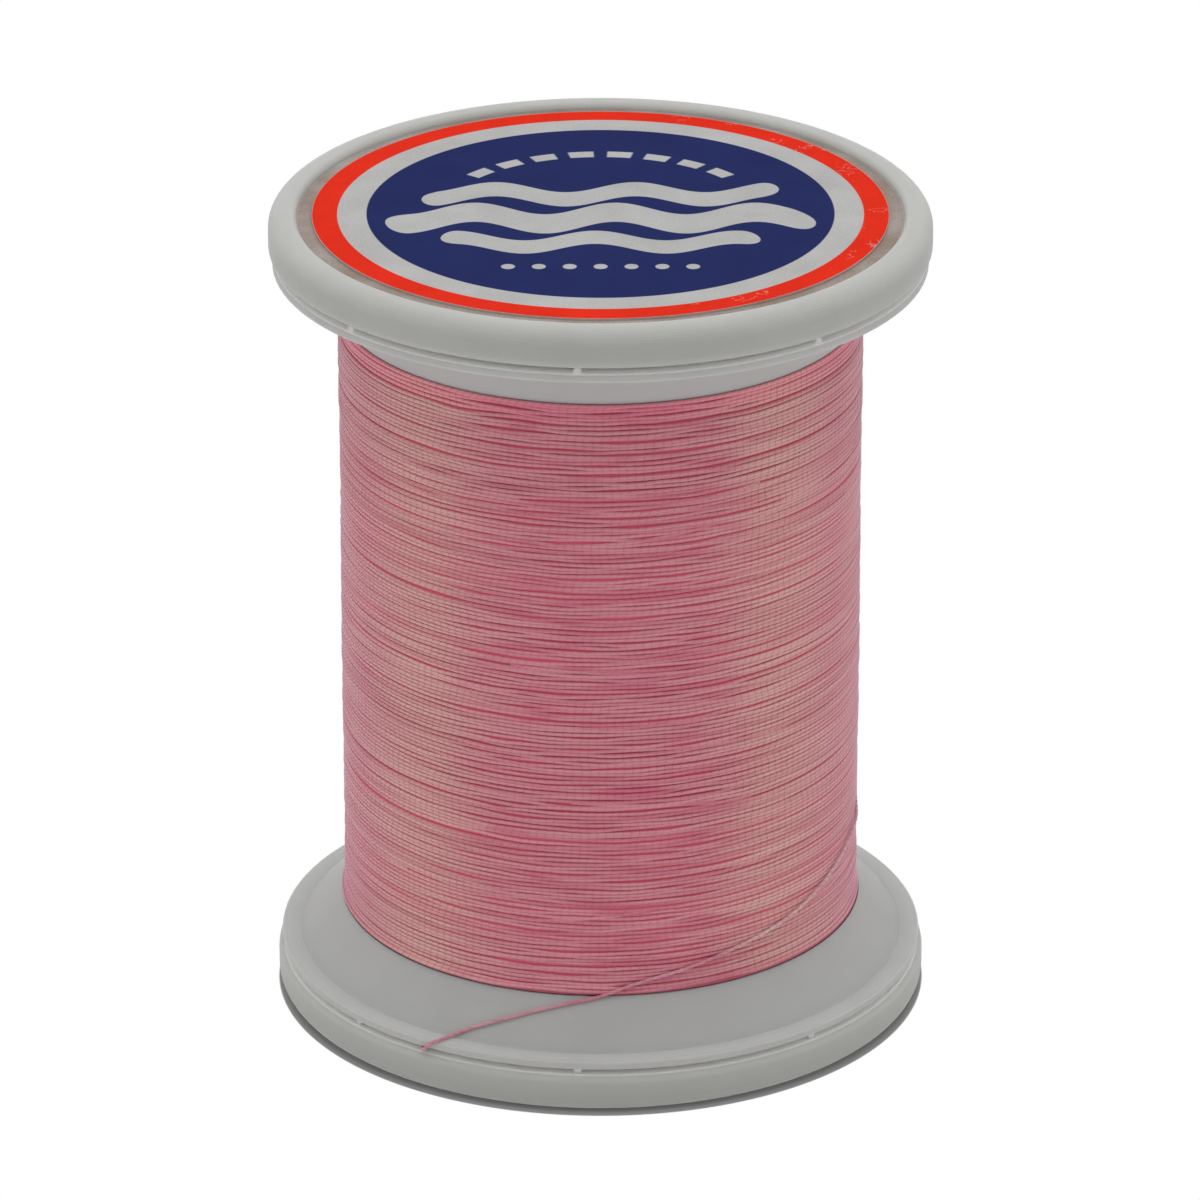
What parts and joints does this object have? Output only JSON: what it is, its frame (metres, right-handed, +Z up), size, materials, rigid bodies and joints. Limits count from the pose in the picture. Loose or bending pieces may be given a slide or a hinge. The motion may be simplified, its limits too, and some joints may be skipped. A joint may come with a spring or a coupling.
{
  "type": "thread spool",
  "caption": "Flanged plastic spool wound with fine thread, with snap-in end caps, a thread catch slot at each end and a round label on top.",
  "frame": {"origin": "centre of the base, on the plane that the bottom cap's rim stands on", "axes": "+Z up the spool's axis to the labelled cap; -Y towards the side where the thread's end crosses to its slot"},
  "size_m": [0.035, 0.035, 0.0444],
  "materials": {
    "body_plastic": "satin moulded",
    "cap_plastic": "satin moulded",
    "thread": "twisted filament, slight sheen",
    "label_paper": "coated paper, printed"
  },
  "bodies": {
    "spool": {"spool_body": "body_plastic", "thread_pack": "thread", "thread_turns": "thread", "thread_tail": "thread"},
    "bottom_cap": {"bottom_cap": "cap_plastic"},
    "top_cap": {"top_cap": "cap_plastic", "top_label": "label_paper"}
  },
  "joints": [
    {"name": "bottom_cap_pull", "type": "slide", "parent": "spool", "child": "bottom_cap", "axis": [0, 0, -1], "range_m": [0, 0.0025]},
    {"name": "top_cap_pull", "type": "slide", "parent": "spool", "child": "top_cap", "axis": [0, 0, 1], "range_m": [0, 0.0025]}
  ]
}
